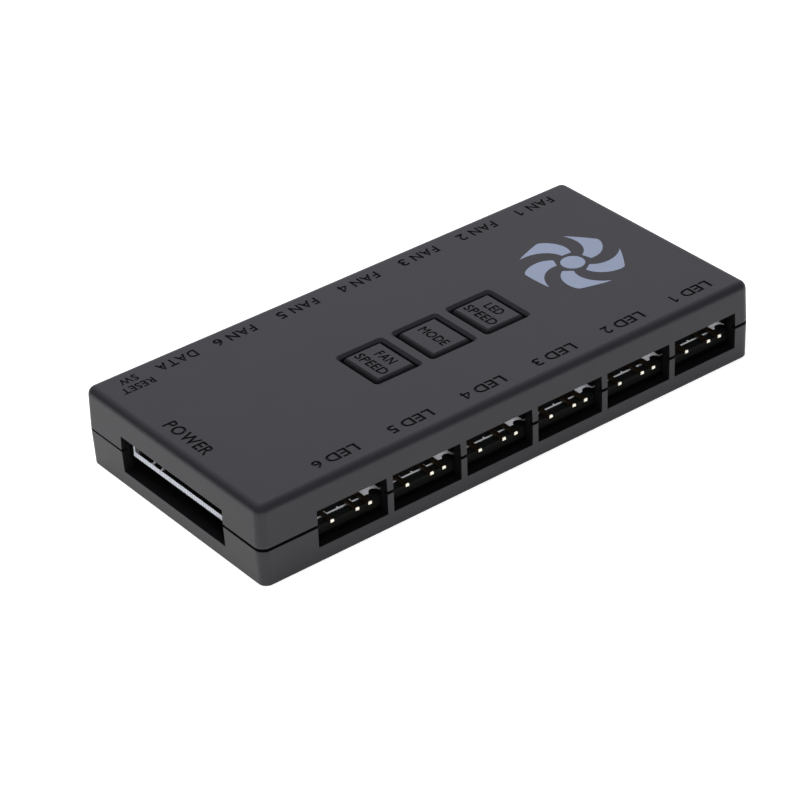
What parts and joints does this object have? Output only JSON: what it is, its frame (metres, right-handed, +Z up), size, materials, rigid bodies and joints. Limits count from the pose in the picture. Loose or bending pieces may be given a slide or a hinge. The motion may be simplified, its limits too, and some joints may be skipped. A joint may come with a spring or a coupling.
{
  "type": "fan hub",
  "caption": "Flat rectangular fan and LED hub: a two-shell plastic case with rows of connector ports along both long sides, a power inlet in one end and push buttons on top.",
  "frame": {"origin": "middle of the case's underside", "axes": "+X along the case away from the power inlet, -Y out of the LED ports, +Y out of the fan ports, +Z up through the buttons"},
  "size_m": [0.105, 0.05, 0.015],
  "materials": {
    "case_plastic": "fine spark-eroded texture, dark charcoal ABS",
    "button_plastic": "the same charcoal ABS as the case",
    "switch_plastic": "black moulded switch body",
    "plunger_plastic": "black moulded plunger",
    "board": "glass-epoxy board under black solder mask",
    "header_plastic": "black moulded header block",
    "pin_metal": "plated square brass pins",
    "inlet_plastic": "pale grey-white moulded insulator",
    "contact_metal": "plated strip contacts",
    "screw_steel": "black zinc plated steel",
    "chip_plastic": "black moulded package",
    "lead_metal": "tinned leads",
    "capacitor_can": "bare aluminium can"
  },
  "bodies": {
    "case": {"upper_shell": "case_plastic", "lower_shell": "case_plastic", "fan_speed_switch": "switch_plastic", "mode_switch": "switch_plastic", "led_speed_switch": "switch_plastic", "circuit_board": "board", "led_header_1": "header_plastic", "led_header_2": "header_plastic", "led_header_3": "header_plastic", "led_header_4": "header_plastic", "led_header_5": "header_plastic", "led_header_6": "header_plastic", "fan_header_1": "header_plastic", "fan_header_2": "header_plastic", "fan_header_3": "header_plastic", "fan_header_4": "header_plastic", "fan_header_5": "header_plastic", "fan_header_6": "header_plastic", "data_header": "header_plastic", "reset_header": "header_plastic", "led_pins_1": "pin_metal", "led_pins_2": "pin_metal", "led_pins_3": "pin_metal", "led_pins_4": "pin_metal", "led_pins_5": "pin_metal", "led_pins_6": "pin_metal", "fan_pins_1": "pin_metal", "fan_pins_2": "pin_metal", "fan_pins_3": "pin_metal", "fan_pins_4": "pin_metal", "fan_pins_5": "pin_metal", "fan_pins_6": "pin_metal", "data_pins": "pin_metal", "reset_pins": "pin_metal", "power_inlet": "inlet_plastic", "power_contacts": "contact_metal", "case_screws": "screw_steel", "controller_chip": "chip_plastic", "fan_drivers": "chip_plastic", "controller_leads": "lead_metal", "smoothing_capacitor": "capacitor_can"},
    "fan_speed_key": {"fan_speed_button": "button_plastic", "fan_speed_plunger": "plunger_plastic"},
    "mode_key": {"mode_button": "button_plastic", "mode_plunger": "plunger_plastic"},
    "led_speed_key": {"led_speed_button": "button_plastic", "led_speed_plunger": "plunger_plastic"}
  },
  "joints": [
    {"name": "fan_speed_press", "type": "slide", "parent": "case", "child": "fan_speed_key", "axis": [0, 0, -1], "range_m": [0, 0.0003], "stiffness_N_per_m": 5300},
    {"name": "mode_press", "type": "slide", "parent": "case", "child": "mode_key", "axis": [0, 0, -1], "range_m": [0, 0.0003], "stiffness_N_per_m": 5300},
    {"name": "led_speed_press", "type": "slide", "parent": "case", "child": "led_speed_key", "axis": [0, 0, -1], "range_m": [0, 0.0003], "stiffness_N_per_m": 5300}
  ]
}
